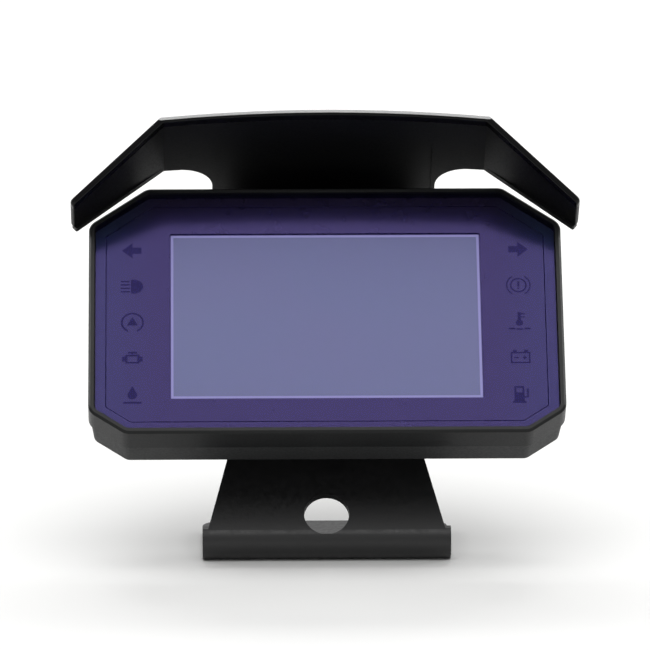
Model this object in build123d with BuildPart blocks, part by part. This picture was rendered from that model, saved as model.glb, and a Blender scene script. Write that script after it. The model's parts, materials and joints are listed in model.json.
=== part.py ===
"""Motorcycle instrument cluster: a 5 inch colour display with a column of warning lights each side, in a
sealed plastic housing that hangs on three rubber mounts from a pressed steel bracket. The bracket also
carries the sun visor that arches over the glass.

Row frame, millimetres: +Z is up, -Y is towards the rider and +X is the rider's right. The origin is the
centre of the four bolt holes in the bracket's foot, on the foot's underside. The glass leans back, so the
housing is drawn on planes parallel to it. On those planes x is the row's X, u runs up the glass and n is the
height out of the glass: 0 on its outer face and negative behind it.
"""

from build123d import *
import os
from math import cos, hypot, radians, sin

# ---- How the cluster sits -----------------------------------------------------------------------------
face_tilt = 42.0            # lean of the glass back from upright, degrees
glass_height = 88.0         # centre of the glass above the foot's underside

# ---- Face ---------------------------------------------------------------------------------------------
face_width = 168.0
face_height = 100.0
top_cut_x, top_cut_y = 20.6, 15.0        # cut corners at the top of the face
bottom_cut_x, bottom_cut_y = 13.0, 9.0   # and at the bottom
face_corner = 5.0                        # rounding of the eight corners
least_corner = 1.2                       # rounding left on outlines that lie far inside the face

# ---- Front: bezel, window, gasket, mask ---------------------------------------------------------------
rim_proud = 0.8             # rim of the bezel over the glass
rim_bevel = 0.8
bezel_wall = 2.0
bezel_depth = 10.0          # from the glass back to the joint with the rear cover
lens_play = 0.15
lens_thick = 2.5
lens_bevel = 0.4
gasket_thick = 0.8
gasket_play = 0.4
ledge_inset = 6.0           # from the face's edge to the opening behind the window
ledge_thick = 1.9
mask_thick = 0.4
mask_play = 0.3

# ---- Display ------------------------------------------------------------------------------------------
active_width, active_height = 108.0, 64.8   # 5 inch, 15:9
active_drop = 0.9                           # centre of the picture below the centre of the face
window_margin = 1.4                         # mask opening outside the picture
panel_side, panel_top, panel_bottom = 5.0, 3.1, 5.0   # glass outside the picture
panel_thick = 1.4
polariser_thick = 0.2
stack_gap = 0.1
module_lip = 1.8            # panel beyond the backlight at the bottom, where the flex is bonded
flex_width, flex_thick, flex_play = 36.0, 0.3, 0.5
socket_side, socket_gap, socket_depth_u, socket_rise = 1.0, 1.6, 4.6, 1.4   # where the flex meets the board
pan_thick = 4.0             # backlight
pan_floor = 1.0
pan_wall = 1.2
guide_thick = 2.8
led_row_height = 3.0        # space for the backlight's light row below the guide
backlight_led_count = 9
backlight_led = (5.0, 2.2, 2.0)

# ---- Warning lights -----------------------------------------------------------------------------------
telltale_count = 5          # each side
telltale_top_gap = 24.0     # first one below the top of the face
telltale_pitch = 14.8
chamber_width, chamber_height = 12.0, 10.4
telltale_led = (3.4, 2.8, 1.0)

# ---- Carrier and board --------------------------------------------------------------------------------
carrier_play = 0.4          # inside the bezel's opening
pocket_play = 0.25
carrier_floor = 1.4
front_part_room = 2.2       # between the carrier's floor and the board
board_inset_extra = 0.8     # board inside the carrier's outline
board_thick = 1.6
board_screw_top, board_screw_bottom = (50.0, 9.6), (40.0, 9.0)   # x, and inset from the face's edge
board_screw_core, board_screw_head, board_screw_head_thick = 0.9, 1.9, 1.3
board_screw_length = 4.4

# ---- Housing screws -----------------------------------------------------------------------------------
post_inset = 7.0
post_radius = 3.2
notch_play = 0.6            # round the posts in the carrier
post_length_behind_board = 3.4
top_post_x = 30.0
bottom_post_x = (20.0, 58.0)
pilot_radius, pilot_depth = 1.45, 9.0
cover_screw_core, cover_screw_head, cover_screw_head_thick = 1.4, 2.8, 2.2
counterbore_radius, counterbore_depth, counterbore_wall = 3.1, 2.8, 1.5
screw_tip_gap = 0.8

# ---- Rear cover ---------------------------------------------------------------------------------------
seal_thick = 0.8
cover_inset = 0.8           # cover inside the bezel's outline at the joint
cover_draft = 0.9           # further in at the shelf
cover_wall = 2.2
shelf_depth = 22.0          # from the glass to the outside of the cover's shelf
pod_depth = 30.0            # and to the outside of the raised middle
pod_width, pod_height = 112.0, 62.0
pod_draft = 4.0
pod_corner = 9.0
rib_thick, rib_rise = 1.6, 3.0
rib_pitch = 14.0
rib_edge = 5.0              # from the ends of the ribs to the edge of the shelf

# ---- Connector ----------------------------------------------------------------------------------------
header_u = 2.0
header_width, header_height, header_corner = 46.0, 16.0, 2.5
header_wall = 1.7
header_reach = 36.0         # from the glass to the mouth
socket_depth = 11.0
pin_size, pin_pitch_x, pin_pitch_u, pin_columns, pin_rows = 1.0, 3.4, 5.0, 11, 2
pin_short_of_mouth = 5.0
pin_tail = 0.6
header_seal_width = 1.6
header_seal_thick = 2.8
key_width, key_rise = 2.4, 1.2

# ---- Vent ---------------------------------------------------------------------------------------------
vent_x, vent_u = 36.0, -16.0
vent_stem_radius, vent_cap_radius, vent_cap_thick = 2.6, 5.4, 2.6

# ---- Rubber mounts ------------------------------------------------------------------------------------
mount_x, mount_u = 44.0, 16.0        # upper pair
mount_low_u = -20.0                  # lower one, on the middle line
mount_boss_radius, mount_boss_rise = 7.0, 6.1
insert_radius, insert_bore, insert_length = 3.6, 2.2, 9.0
sleeve_radius, sleeve_bore = 4.0, 2.7
grommet_bore = 4.06
grommet_neck, grommet_flange, grommet_flange_thick = 5.4, 8.5, 3.1
grommet_seat_gap = 0.3               # between the rubber and the boss or washer it bears on
mount_washer_radius, mount_washer_thick = 8.0, 1.2
screw_core, screw_head, screw_head_thick = 2.1, 4.8, 2.8
hex_key, hex_depth = 3.0, 1.6
mount_screw_grip = 7.0               # thread inside the insert

# ---- Bracket ------------------------------------------------------------------------------------------
plate_thick = 3.0
plate_hole_play = 0.1
plate_margin = 4.5                   # metal outside a rubber mount's flange
plate_top_u, plate_top_half = 48.0, 36.0
leg_half, leg_bottom_half = 34.0, 44.0
leg_top_u = -34.0
window_half, window_low_gap, window_high_gap = 30.0, 3.6, 9.0
window_corner, plate_corner = 4.0, 5.5
light_hole_radius, light_hole_above_foot = 8.0, 22.0
foot_front, foot_back = 37.0, 23.0   # reach of the foot from the origin, towards the rider and away
foot_corner = 8.0
bend_inside = 4.0
foot_hole_radius = 3.3               # M6 clearance
foot_hole_x, foot_hole_y = 34.0, 14.0
gusset_x, gusset_thick, gusset_relief, gusset_reach = 24.0, 3.0, 11.0, 32.0

# ---- Visor --------------------------------------------------------------------------------------------
visor_thick = 2.4
visor_gap = 7.6                      # underside over the top edge of the face, at the roof's corners
visor_crown = 2.1                    # rise of the roof's middle over its corners
visor_corner_in = 6.1                # roof corners inside the ends of the face's top edge
visor_overhang = 5.3                 # wing tips outside the face
visor_tip_drop = 16.6                # wing tips below the top edge of the face
visor_reach = 33.0                   # lip out of the glass, at the roof's corners
visor_lip_slope = 0.68               # the lip's plane: mm of reach gained per mm of height
visor_wing_back = 0.0                # back edge of the wings, level with the glass
visor_neck_half, visor_neck_round = 40.0, 12.0
visor_lip_bevel = 2.0                # bevel along the top of the roof's lip
visor_lip_round, visor_lip_under_round, visor_tip_round = 1.1, 0.5, 2.0
flange_drop, flange_thick = 1.4, 2.2 # flange on the back edge of each wing, deepest at the tip
recess_front, recess_back, recess_deep, recess_corner = 22.0, -30.0, 1.0, 8.0    # hollow under the roof
recess_rim = 1.5                     # left between the hollow and the sides of the neck
neck_rear_round = 6.0
tab_half, tab_thick, tab_bottom_u = 33.0, 3.0, 30.0
tab_bend = 5.0
visor_boss_x, visor_boss_radius, visor_boss_rise = 22.0, 6.0, 6.0
visor_screw_u = 39.5
visor_insert_radius, visor_insert_bore, visor_insert_length = 3.3, 2.2, 8.0
visor_washer_radius, visor_washer_thick = 6.2, 1.0
visor_screw_grip = 6.0
plate_screw_hole = 2.8
visor_rib_x, visor_rib_thick, visor_rib_leg = 11.0, 2.4, 12.0

# ---- Levels out of the glass, worked out from the sizes above ------------------------------------------
face_top = face_height / 2
lens_back = -lens_thick
gasket_back = lens_back - gasket_thick
ledge_back = gasket_back - ledge_thick
mask_back = lens_back - mask_thick
polariser_front = mask_back - stack_gap
panel_front = polariser_front - polariser_thick
panel_back = panel_front - panel_thick
pan_back = panel_back - pan_thick
carrier_front = mask_back - stack_gap
floor_back = pan_back - carrier_floor
board_front = floor_back - front_part_room
board_back = board_front - board_thick
bezel_back = -bezel_depth
cover_front = bezel_back - seal_thick
post_end = board_back - post_length_behind_board
shelf_back = -shelf_depth
pod_back = -pod_depth
header_mouth = -header_reach
boss_end = pod_back - mount_boss_rise
grommet_front = boss_end - grommet_seat_gap
plate_front = grommet_front - grommet_flange_thick
plate_back = plate_front - plate_thick
grommet_back = plate_back - grommet_flange_thick
washer_front = grommet_back - grommet_seat_gap

# ---- Positions on the face -----------------------------------------------------------------------------
active_u = -active_drop
panel_width = active_width + 2 * panel_side
panel_top_u = active_u + active_height / 2 + panel_top
panel_bottom_u = active_u - active_height / 2 - panel_bottom
module_height = panel_top_u - panel_bottom_u - module_lip
module_u = panel_top_u - module_height / 2
telltale_x = (panel_width / 2 + face_width / 2 - ledge_inset) / 2
telltale_spots = [(side * telltale_x, face_top - telltale_top_gap - row * telltale_pitch)
                  for side in (-1, 1) for row in range(telltale_count)]
cut_length = hypot(top_cut_x, top_cut_y)
corner_post_x = face_width / 2 - top_cut_x / 2 - post_inset * top_cut_y / cut_length
corner_post_u = face_top - top_cut_y / 2 - post_inset * top_cut_x / cut_length
post_spots = [(side * x, u) for side in (-1, 1) for x, u in (
    (top_post_x, face_top - post_inset),
    (corner_post_x, corner_post_u),
    (bottom_post_x[0], post_inset - face_top),
    (bottom_post_x[1], post_inset - face_top),
)]
board_screw_spots = [(side * x, up * (face_top - inset)) for side in (-1, 1)
                     for up, (x, inset) in ((1, board_screw_top), (-1, board_screw_bottom))]
mount_spots = [(-mount_x, mount_u), (mount_x, mount_u), (0, mount_low_u)]
visor_screw_spots = [(-visor_boss_x, visor_screw_u), (visor_boss_x, visor_screw_u)]

# ---- Planes --------------------------------------------------------------------------------------------
lean_sin, lean_cos = sin(radians(face_tilt)), cos(radians(face_tilt))
foot_line_u = (-glass_height - plate_front * lean_sin) / lean_cos
glass_y = -foot_front - (foot_line_u * lean_sin - plate_front * lean_cos)
glass = Plane(origin=(0, glass_y, glass_height), x_dir=(1, 0, 0), z_dir=(0, -lean_cos, lean_sin))
side_view = Plane(origin=glass.origin, x_dir=glass.y_dir, z_dir=(1, 0, 0))    # local x is u, local y is n
plan_view = Plane(origin=glass.origin, x_dir=(1, 0, 0), z_dir=glass.y_dir)    # local y is -n
out_of_glass = Axis(glass.origin, glass.z_dir)


def level(height):
    """The plane parallel to the glass at this height out of it."""
    return glass.offset(height)


def face_shape(inset=0.0):
    """The eight-sided outline of the face, moved in by inset, with round corners."""
    half, top, bottom = face_width / 2, face_top, -face_top
    right = [(half - bottom_cut_x, bottom), (half, bottom + bottom_cut_y),
             (half, top - top_cut_y), (half - top_cut_x, top)]
    left = [(-x, u) for x, u in reversed(right)]
    with BuildSketch(mode=Mode.PRIVATE) as shape:
        with BuildLine():
            Polyline(*right, *left, close=True)
        make_face()
        if inset:
            offset(amount=-inset, kind=Kind.INTERSECTION)
        fillet(shape.vertices(), max(face_corner - inset, least_corner))
    return shape.sketch


def rounded(width, height, radius, x=0.0, u=0.0):
    """A rectangle with round corners about a point."""
    with BuildSketch(mode=Mode.PRIVATE) as shape:
        with Locations((x, u)):
            RectangleRounded(width, height, radius)
    return shape.sketch


def discs(radius, spots):
    """A disc on each spot."""
    with BuildSketch(mode=Mode.PRIVATE) as shape:
        with Locations(*spots):
            Circle(radius)
    return shape.sketch


def tube(high, low, outer, inner, spots):
    """Tubes, or rods where inner is 0, between two levels, on each spot."""
    with BuildPart() as made:
        with BuildSketch(level(low)):
            add(discs(outer, spots))
            if inner:
                add(discs(inner, spots), mode=Mode.SUBTRACT)
        extrude(amount=high - low)
    return made.part


def screw(seat, head_radius, head_thick, core_radius, length, spots, key, key_depth):
    """Round-headed screws driven from behind: the head bears on the seat and the shank runs forward."""
    with BuildPart() as made:
        with BuildSketch(level(seat)):
            add(discs(core_radius, spots))
        extrude(amount=length)
        with BuildSketch(level(seat)):
            add(discs(head_radius, spots))
        extrude(amount=-head_thick)
        rims = made.edges().filter_by(GeomType.CIRCLE).group_by(out_of_glass)[0]
        fillet(rims, head_thick * 0.4)
        with BuildSketch(level(seat - head_thick)):
            with Locations(*spots):
                RegularPolygon(key / 2, 6, major_radius=False)
        extrude(amount=key_depth, mode=Mode.SUBTRACT)
    return made.part


# ======== Bezel =========================================================================================
with BuildPart() as front_bezel:
    with BuildSketch(level(bezel_back)):
        add(face_shape())
        add(face_shape(bezel_wall), mode=Mode.SUBTRACT)
    extrude(amount=rim_proud - bezel_back)
    chamfer(front_bezel.faces().sort_by(out_of_glass)[-1].outer_wire().edges(), rim_bevel)
    with BuildSketch(level(ledge_back)):
        add(face_shape(bezel_wall))
        add(face_shape(ledge_inset), mode=Mode.SUBTRACT)
    extrude(amount=ledge_thick)
    with BuildSketch(level(post_end)):
        add(discs(post_radius, post_spots))
    extrude(amount=gasket_back - post_end)
    with BuildSketch(level(post_end)):
        add(discs(pilot_radius, post_spots))
    extrude(amount=pilot_depth, mode=Mode.SUBTRACT)

# ======== Window, its gasket and the printed mask behind it ===============================================
with BuildPart() as cover_lens:
    with BuildSketch(level(lens_back)):
        add(face_shape(bezel_wall + lens_play))
    extrude(amount=lens_thick)
    chamfer(cover_lens.faces().sort_by(out_of_glass)[-1].edges(), lens_bevel)

with BuildPart() as lens_gasket:
    with BuildSketch(level(gasket_back)):
        add(face_shape(bezel_wall + gasket_play))
        add(face_shape(ledge_inset), mode=Mode.SUBTRACT)
    extrude(amount=gasket_thick)


def turn_arrow(way):
    """A broad arrow, for the turn signals."""
    with BuildSketch(mode=Mode.PRIVATE) as icon:
        with BuildLine():
            Polyline((way * 3.8, 0), (0, 3.2), (0, 1.3), (way * -3.2, 1.3),
                     (way * -3.2, -1.3), (0, -1.3), (0, -3.2), close=True)
        make_face()
    return icon.sketch


def main_beam():
    """A lamp seen from the side, with four level rays."""
    with BuildSketch(mode=Mode.PRIVATE) as icon:
        with Locations((0.4, 0)):
            Ellipse(3.4, 2.9)
        with Locations((-3.1, 0)):
            Rectangle(5.0, 7.0, mode=Mode.SUBTRACT)
        with Locations(*[(-2.6, u) for u in (-2.1, -0.7, 0.7, 2.1)]):
            Rectangle(3.2, 0.6)
    return icon.sketch


def ringed_triangle():
    """A triangle in an open ring, for the traction control."""
    with BuildSketch(mode=Mode.PRIVATE) as icon:
        Circle(4.1)
        Circle(3.4, mode=Mode.SUBTRACT)
        with Locations((0, -4.1)):
            Rectangle(3.2, 2.4, mode=Mode.SUBTRACT)
        RegularPolygon(2.3, 3, rotation=90)
    return icon.sketch


def engine():
    """An engine block in outline."""
    with BuildSketch(mode=Mode.PRIVATE) as icon:
        Rectangle(5.0, 3.6)
        with Locations((0, 2.6)):
            Rectangle(3.2, 0.8)
        with Locations((0, 2.0)):
            Rectangle(0.8, 0.8)
        with Locations((-3.0, 0), (3.0, 0)):
            Rectangle(1.2, 2.0)
        Rectangle(3.4, 2.2, mode=Mode.SUBTRACT)
    return icon.sketch


def oil_drop():
    """A drop over a sump line."""
    with BuildSketch(mode=Mode.PRIVATE) as icon:
        with Locations((0, 0.2)):
            Circle(1.7)
        with BuildLine():
            Polyline((-1.55, 0.9), (1.55, 0.9), (0, 3.9), close=True)
        make_face()
        with Locations((0, -2.9)):
            Rectangle(6.4, 0.8)
    return icon.sketch


def ring_and_bar():
    """An upright bar in a ring between two arcs, for the brakes."""
    with BuildSketch(mode=Mode.PRIVATE) as icon:
        Circle(4.4)
        Circle(3.9, mode=Mode.SUBTRACT)
        Rectangle(4.4, 9.4, mode=Mode.SUBTRACT)
        Circle(3.0)
        Circle(2.4, mode=Mode.SUBTRACT)
        with Locations((0, 0.5)):
            Rectangle(0.7, 2.0)
        with Locations((0, -1.25)):
            Circle(0.4)
    return icon.sketch


def thermometer():
    """A thermometer over a wave line."""
    with BuildSketch(mode=Mode.PRIVATE) as icon:
        with Locations((0, -0.6)):
            Circle(1.3)
        with Locations((0, 1.6)):
            Rectangle(1.2, 4.2)
        with Locations((1.3, 3.0), (1.3, 1.8)):
            Rectangle(1.4, 0.5)
        with Locations((-2.7, -3.0), (2.7, -3.0), (0, -3.2)):
            Rectangle(2.2, 0.7)
    return icon.sketch


def battery():
    """A battery case with two posts."""
    with BuildSketch(mode=Mode.PRIVATE) as icon:
        Rectangle(7.0, 4.6)
        Rectangle(5.8, 3.4, mode=Mode.SUBTRACT)
        with Locations((-2.0, 2.7), (2.0, 2.7)):
            Rectangle(1.4, 0.9)
        with Locations((-1.5, 0)):
            Rectangle(1.6, 0.5)
        with Locations((1.5, 0)):
            Rectangle(1.6, 0.5)
            Rectangle(0.5, 1.6)
    return icon.sketch


def fuel_pump():
    """A pump with its hose."""
    with BuildSketch(mode=Mode.PRIVATE) as icon:
        with Locations((-0.8, 0)):
            Rectangle(3.6, 6.4)
        with Locations((-0.8, 1.6)):
            Rectangle(2.2, 1.8, mode=Mode.SUBTRACT)
        with Locations((-0.8, -3.2)):
            Rectangle(4.8, 0.7)
        with Locations((1.4, -1.2)):
            Rectangle(1.2, 0.5)
        with Locations((2.2, 0.4)):
            Rectangle(0.6, 3.7)
    return icon.sketch


telltale_icons = [turn_arrow(-1), main_beam(), ringed_triangle(), engine(), oil_drop(),
                  turn_arrow(1), ring_and_bar(), thermometer(), battery(), fuel_pump()]
with BuildSketch(mode=Mode.PRIVATE) as icon_sheet:
    for spot, icon in zip(telltale_spots, telltale_icons):
        add(icon.moved(Location((*spot, 0))))
window_shape = rounded(active_width + 2 * window_margin, active_height + 2 * window_margin, 1.0, u=active_u)

with BuildPart() as face_mask:
    with BuildSketch(level(mask_back)):
        add(face_shape(ledge_inset + mask_play))
        add(window_shape, mode=Mode.SUBTRACT)
        add(icon_sheet.sketch, mode=Mode.SUBTRACT)
    extrude(amount=mask_thick)

with BuildPart() as telltale_symbols:
    with BuildSketch(level(mask_back)):
        add(icon_sheet.sketch)
    extrude(amount=mask_thick)

# ======== Display module =================================================================================
panel_u = (panel_top_u + panel_bottom_u) / 2
with BuildPart() as display_polariser:
    with BuildSketch(level(panel_front)):
        add(rounded(active_width + 2 * window_margin + 1, active_height + 2 * window_margin + 1, 0.8,
                    u=active_u))
    extrude(amount=polariser_thick)

with BuildPart() as display_panel:
    with BuildSketch(level(panel_back)):
        add(rounded(panel_width, panel_top_u - panel_bottom_u, 1.0, u=panel_u))
    extrude(amount=panel_thick)

guide_height = module_height - 2 * pan_wall - led_row_height
guide_u = module_u + led_row_height / 2
with BuildPart() as backlight_pan:
    with BuildSketch(level(pan_back)):
        add(rounded(panel_width, module_height, 1.0, u=module_u))
    extrude(amount=pan_thick)
    with BuildSketch(level(pan_back + pan_floor)):
        add(rounded(panel_width - 2 * pan_wall, module_height - 2 * pan_wall, 0.8, u=module_u))
    extrude(amount=pan_thick, mode=Mode.SUBTRACT)

with BuildPart() as light_guide:
    with BuildSketch(level(pan_back + pan_floor)):
        add(rounded(panel_width - 2 * pan_wall - 0.4, guide_height - 0.2, 0.6, u=guide_u))
    extrude(amount=guide_thick)

led_row_u = module_u - module_height / 2 + pan_wall + led_row_height / 2
with BuildPart() as backlight_leds:
    with BuildSketch(level(pan_back + pan_floor)):
        with Locations((0, led_row_u)):
            with GridLocations(active_width / backlight_led_count, 1, backlight_led_count, 1):
                Rectangle(backlight_led[0], backlight_led[1])
    extrude(amount=backlight_led[2])

# ======== Carrier: holds the display, and its tunnels keep each warning light to itself ====================
flex_u = panel_bottom_u + module_lip / 2
socket_room = (flex_u - flex_thick / 2 - flex_play, flex_u + socket_gap + socket_depth_u + flex_play)
with BuildPart() as display_carrier:
    with BuildSketch(level(board_front)):
        add(face_shape(ledge_inset + carrier_play))
        add(discs(post_radius + notch_play, post_spots), mode=Mode.SUBTRACT)
        with Locations(*telltale_spots):
            RectangleRounded(chamber_width, chamber_height, 1.2, mode=Mode.SUBTRACT)
    extrude(amount=carrier_front - board_front)
    with BuildSketch(level(panel_back)):
        add(rounded(panel_width + 2 * pocket_play, panel_top_u - panel_bottom_u + 2 * pocket_play, 1.0,
                    u=panel_u))
    extrude(amount=carrier_front - panel_back, mode=Mode.SUBTRACT)
    with BuildSketch(level(pan_back)):
        add(rounded(panel_width + 2 * pocket_play, module_height + 2 * pocket_play, 1.0, u=module_u))
    extrude(amount=pan_thick, mode=Mode.SUBTRACT)
    with BuildSketch(level(board_front)):
        with Locations((0, module_u)):
            Rectangle(panel_width - 8, module_height - 8)
    extrude(amount=front_part_room, mode=Mode.SUBTRACT)
    with BuildSketch(level(board_front)):
        with Locations((0, sum(socket_room) / 2)):
            Rectangle(flex_width + 2 * (socket_side + flex_play), socket_room[1] - socket_room[0])
    extrude(amount=front_part_room, mode=Mode.SUBTRACT)
    with BuildSketch(level(board_front)):
        with Locations((0, flex_u)):
            Rectangle(flex_width + 2 * flex_play, flex_thick + 2 * flex_play)
    extrude(amount=panel_back - board_front, mode=Mode.SUBTRACT)
    with BuildSketch(level(board_front)):
        add(discs(board_screw_core, board_screw_spots))
    extrude(amount=board_screw_length - board_thick + 0.4, mode=Mode.SUBTRACT)

# ======== Circuit board and what is soldered to it =======================================================
pin_grid = [(column * pin_pitch_x - (pin_columns - 1) * pin_pitch_x / 2,
             header_u + row * pin_pitch_u - (pin_rows - 1) * pin_pitch_u / 2)
            for column in range(pin_columns) for row in range(pin_rows)]


def pin_holes():
    """One square for each pin of the connector."""
    with BuildSketch(mode=Mode.PRIVATE) as shape:
        with Locations(*pin_grid):
            Rectangle(pin_size, pin_size)
    return shape.sketch


with BuildPart() as main_board:
    with BuildSketch(level(board_back)):
        add(face_shape(ledge_inset + carrier_play + board_inset_extra))
        add(discs(post_radius + notch_play + 0.4, post_spots), mode=Mode.SUBTRACT)
        add(discs(board_screw_core + 0.2, board_screw_spots), mode=Mode.SUBTRACT)
        add(pin_holes(), mode=Mode.SUBTRACT)
    extrude(amount=board_thick)

with BuildPart() as telltale_leds:
    with BuildSketch(level(board_front)):
        with Locations(*telltale_spots):
            Rectangle(telltale_led[0], telltale_led[1])
    extrude(amount=telltale_led[2])


def chips(blocks, base, side):
    """Flat packages on the board, each (x, u, width, height, thickness), on one side of it."""
    with BuildPart() as made:
        for x, u, width, height, thick in blocks:
            with BuildSketch(level(base)):
                with Locations((x, u)):
                    Rectangle(width, height)
            extrude(amount=side * thick)
    return made.part


processor = chips([(-34, -14, 18, 18, 1.6)], board_back, -1)
memory_chips = chips([(-14, -18, 11, 9, 1.1), (-14, -31, 11, 9, 1.1)], board_back, -1)
bus_drivers = chips([(44, -30, 6, 5, 1.5), (58, -30, 6, 5, 1.5), (66, -6, 5, 6, 1.5)], board_back, -1)
power_coils = chips([(18, 22, 8, 8, 4.2), (32, 22, 8, 8, 4.2)], board_back, -1)
capacitor_spots = [(-20, 20), (-8, 20), (4, 20)]
with BuildPart() as capacitors:
    with BuildSketch(level(board_back)):
        add(discs(3.15, capacitor_spots))
    extrude(amount=-8.0)
    fillet(capacitors.edges().filter_by(GeomType.CIRCLE).group_by(out_of_glass)[0], 0.5)

socket_near_u = flex_u + socket_gap
display_socket = chips([(0, socket_near_u + socket_depth_u / 2, flex_width + 2 * socket_side, socket_depth_u,
                         socket_rise)], board_front, 1)
flex_tail_front = board_front + socket_rise / 2 + flex_thick / 2
with BuildPart() as display_flex:
    with BuildSketch(side_view):
        with BuildLine():
            Polyline((flex_u - flex_thick / 2, panel_back), (flex_u + flex_thick / 2, panel_back),
                     (flex_u + flex_thick / 2, flex_tail_front), (socket_near_u, flex_tail_front),
                     (socket_near_u, flex_tail_front - flex_thick),
                     (flex_u - flex_thick / 2, flex_tail_front - flex_thick), close=True)
        make_face()
    extrude(amount=flex_width / 2, both=True)

with BuildPart() as board_screws:
    add(screw(board_back, board_screw_head, board_screw_head_thick, board_screw_core, board_screw_length,
              board_screw_spots, 1.5, 0.7))

# ======== Connector ======================================================================================
with BuildPart() as header_shroud:
    with BuildSketch(level(header_mouth)):
        add(rounded(header_width, header_height, header_corner, u=header_u))
        with Locations((-header_width / 4, header_u + header_height / 2 + key_rise / 2),
                       (header_width / 4, header_u + header_height / 2 + key_rise / 2),
                       (0, header_u - header_height / 2 - key_rise / 2)):
            Rectangle(key_width, key_rise)
    extrude(amount=pod_back - header_mouth - 1.2)
    with BuildSketch(level(header_mouth)):
        add(rounded(header_width, header_height, header_corner, u=header_u))
    extrude(amount=board_back - header_mouth)
    with BuildSketch(level(header_mouth)):
        add(rounded(header_width - 2 * header_wall, header_height - 2 * header_wall,
                    header_corner - header_wall / 2, u=header_u))
    extrude(amount=socket_depth, mode=Mode.SUBTRACT)
    with BuildSketch(level(header_mouth)):
        add(pin_holes())
    extrude(amount=board_back - header_mouth, mode=Mode.SUBTRACT)

with BuildPart() as header_pins:
    with BuildSketch(level(header_mouth + pin_short_of_mouth)):
        add(pin_holes())
    extrude(amount=board_front + pin_tail - header_mouth - pin_short_of_mouth)

seal_width, seal_height = header_width + 2 * header_seal_width, header_height + 2 * header_seal_width
header_opening = rounded(seal_width, seal_height, header_corner + header_seal_width, u=header_u)
with BuildPart() as header_seal:
    with BuildSketch(level(pod_back)):
        add(header_opening)
        add(rounded(header_width, header_height, header_corner, u=header_u), mode=Mode.SUBTRACT)
    extrude(amount=header_seal_thick)

# ======== Joint seal and rear cover ======================================================================
with BuildPart() as housing_seal:
    with BuildSketch(level(cover_front)):
        add(face_shape(cover_inset + 0.2))
        add(face_shape(bezel_wall), mode=Mode.SUBTRACT)
    extrude(amount=seal_thick)

shelf_inset = cover_inset + cover_draft


def pod_shape(inset):
    """The raised middle of the rear cover."""
    return rounded(pod_width - 2 * inset, pod_height - 2 * inset, pod_corner - inset / 2)


shelf_rib_x = [side * (pod_width / 2 - (step + 0.5) * rib_pitch) for side in (-1, 1) for step in range(4)]
shelf_rib_u = [step * rib_pitch for step in (-1, 0, 1)]


with BuildPart() as rear_cover:
    with BuildSketch(level(cover_front)):
        add(face_shape(cover_inset))
    with BuildSketch(level(shelf_back)):
        add(face_shape(shelf_inset))
    loft()
    with BuildSketch(level(shelf_back + cover_wall)):
        add(pod_shape(0))
    with BuildSketch(level(pod_back)):
        add(pod_shape(pod_draft))
    loft()
    fillet(rear_cover.faces().sort_by(out_of_glass)[0].edges(), 1.5)
    # ribs on the shelf, all round the raised middle
    with BuildSketch(level(shelf_back - rib_rise)):
        with Locations(*[(x, 0) for x in shelf_rib_x]):
            Rectangle(rib_thick, 2 * (face_top - shelf_inset - rib_edge))
        with Locations(*[(0, u) for u in shelf_rib_u]):
            Rectangle(2 * (face_width / 2 - shelf_inset - rib_edge), rib_thick)
        add(discs(counterbore_radius + counterbore_wall, post_spots), mode=Mode.SUBTRACT)
    extrude(amount=rib_rise + cover_wall / 2)
    # bosses for the rubber mounts
    with BuildSketch(level(boss_end)):
        add(discs(mount_boss_radius, mount_spots))
    extrude(amount=pod_back + cover_wall - boss_end)
    # hollow inside
    with BuildSketch(level(cover_front)):
        add(face_shape(cover_inset + cover_wall))
    with BuildSketch(level(shelf_back + cover_wall)):
        add(face_shape(shelf_inset + cover_wall))
    loft(mode=Mode.SUBTRACT)
    with BuildSketch(level(shelf_back + cover_wall + 0.5)):
        add(pod_shape(cover_wall))
    with BuildSketch(level(pod_back + cover_wall)):
        add(pod_shape(pod_draft + cover_wall))
    loft(mode=Mode.SUBTRACT)
    # bosses behind the bezel's posts, with the screw holes
    with BuildSketch(level(shelf_back + cover_wall / 2)):
        add(discs(counterbore_radius + counterbore_wall, post_spots))
    extrude(amount=post_end - shelf_back - cover_wall / 2)
    with BuildSketch(level(shelf_back)):
        add(discs(counterbore_radius, post_spots))
    extrude(amount=counterbore_depth, mode=Mode.SUBTRACT)
    with BuildSketch(level(shelf_back)):
        add(discs(cover_screw_core + 0.3, post_spots))
    extrude(amount=shelf_depth, mode=Mode.SUBTRACT)
    # wells behind the mount bosses for the inserts
    with BuildSketch(level(boss_end + insert_length + 1.0)):
        add(discs(mount_boss_radius, mount_spots))
    extrude(amount=-(boss_end + insert_length + 1.0 - pod_back - cover_wall / 2))
    with BuildSketch(level(boss_end)):
        add(discs(insert_radius, mount_spots))
    extrude(amount=insert_length, mode=Mode.SUBTRACT)
    # openings for the connector and the vent
    with BuildSketch(level(pod_back - rib_rise)):
        add(header_opening)
    extrude(amount=pod_depth - shelf_depth + rib_rise, mode=Mode.SUBTRACT)
    with BuildSketch(level(pod_back - rib_rise)):
        add(discs(vent_stem_radius, [(vent_x, vent_u)]))
    extrude(amount=rib_rise + cover_wall + 1, mode=Mode.SUBTRACT)

cover_screws = screw(shelf_back + counterbore_depth, cover_screw_head, cover_screw_head_thick,
                     cover_screw_core,
                     post_end + pilot_depth - screw_tip_gap - shelf_back - counterbore_depth,
                     post_spots, 2.2, 1.2)

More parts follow.
